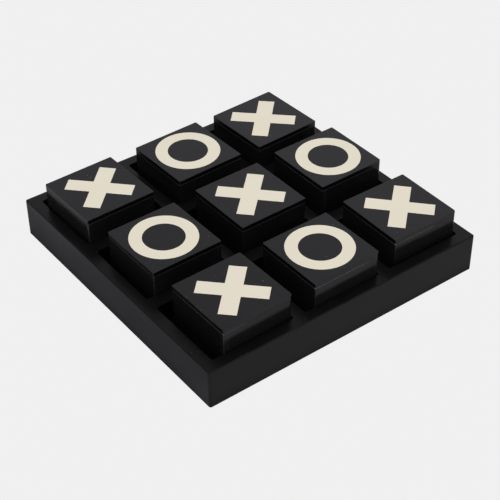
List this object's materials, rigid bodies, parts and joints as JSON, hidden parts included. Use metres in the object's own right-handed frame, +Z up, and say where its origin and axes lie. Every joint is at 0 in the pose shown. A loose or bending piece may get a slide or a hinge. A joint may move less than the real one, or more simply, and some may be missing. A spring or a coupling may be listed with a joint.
{
  "type": "tic tac toe set",
  "caption": "Square black tic tac toe board with open pockets and loose block tiles that carry a cream X or ring inlaid flush in the top.",
  "frame": {"origin": "centre of the underside, on the surface that the board stands on", "axes": "+Z up; +X from the left rail to the right rail; +Y from the front rail to the back rail"},
  "size_m": [0.254, 0.254, 0.0556],
  "materials": {
    "black_lacquer": "satin lacquer",
    "board_felt": "felt",
    "tile_core": "raw fibreboard",
    "gloss_black_resin": "polished",
    "satin_black_resin": "satin, fine scratches",
    "cream_resin": "satin"
  },
  "bodies": {
    "board": {"base_panel": "black_lacquer", "front_rail": "black_lacquer", "back_rail": "black_lacquer", "left_rail": "black_lacquer", "right_rail": "black_lacquer", "front_cross_bar": "black_lacquer", "back_cross_bar": "black_lacquer", "left_long_bar": "black_lacquer", "right_long_bar": "black_lacquer", "base_felt": "board_felt"},
    "tile_a1": {"a1_core": "tile_core", "a1_side_sheets": "gloss_black_resin", "a1_top_plate": "satin_black_resin", "a1_cross_inlay": "cream_resin"},
    "tile_b1": {"b1_core": "tile_core", "b1_side_sheets": "gloss_black_resin", "b1_top_plate": "satin_black_resin", "b1_ring_inlay": "cream_resin", "b1_centre_disc": "satin_black_resin"},
    "tile_c1": {"c1_core": "tile_core", "c1_side_sheets": "gloss_black_resin", "c1_top_plate": "satin_black_resin", "c1_cross_inlay": "cream_resin"},
    "tile_a2": {"a2_core": "tile_core", "a2_side_sheets": "gloss_black_resin", "a2_top_plate": "satin_black_resin", "a2_ring_inlay": "cream_resin", "a2_centre_disc": "satin_black_resin"},
    "tile_b2": {"b2_core": "tile_core", "b2_side_sheets": "gloss_black_resin", "b2_top_plate": "satin_black_resin", "b2_cross_inlay": "cream_resin"},
    "tile_c2": {"c2_core": "tile_core", "c2_side_sheets": "gloss_black_resin", "c2_top_plate": "satin_black_resin", "c2_ring_inlay": "cream_resin", "c2_centre_disc": "satin_black_resin"},
    "tile_a3": {"a3_core": "tile_core", "a3_side_sheets": "gloss_black_resin", "a3_top_plate": "satin_black_resin", "a3_cross_inlay": "cream_resin"},
    "tile_b3": {"b3_core": "tile_core", "b3_side_sheets": "gloss_black_resin", "b3_top_plate": "satin_black_resin", "b3_ring_inlay": "cream_resin", "b3_centre_disc": "satin_black_resin"},
    "tile_c3": {"c3_core": "tile_core", "c3_side_sheets": "gloss_black_resin", "c3_top_plate": "satin_black_resin", "c3_cross_inlay": "cream_resin"}
  },
  "joints": [
    {"name": "lift_a1", "type": "slide", "parent": "board", "child": "tile_a1", "axis": [0, 0, 1], "range_m": [0, 0.05]},
    {"name": "lift_b1", "type": "slide", "parent": "board", "child": "tile_b1", "axis": [0, 0, 1], "range_m": [0, 0.05]},
    {"name": "lift_c1", "type": "slide", "parent": "board", "child": "tile_c1", "axis": [0, 0, 1], "range_m": [0, 0.05]},
    {"name": "lift_a2", "type": "slide", "parent": "board", "child": "tile_a2", "axis": [0, 0, 1], "range_m": [0, 0.05]},
    {"name": "lift_b2", "type": "slide", "parent": "board", "child": "tile_b2", "axis": [0, 0, 1], "range_m": [0, 0.05]},
    {"name": "lift_c2", "type": "slide", "parent": "board", "child": "tile_c2", "axis": [0, 0, 1], "range_m": [0, 0.05]},
    {"name": "lift_a3", "type": "slide", "parent": "board", "child": "tile_a3", "axis": [0, 0, 1], "range_m": [0, 0.05]},
    {"name": "lift_b3", "type": "slide", "parent": "board", "child": "tile_b3", "axis": [0, 0, 1], "range_m": [0, 0.05]},
    {"name": "lift_c3", "type": "slide", "parent": "board", "child": "tile_c3", "axis": [0, 0, 1], "range_m": [0, 0.05]}
  ]
}
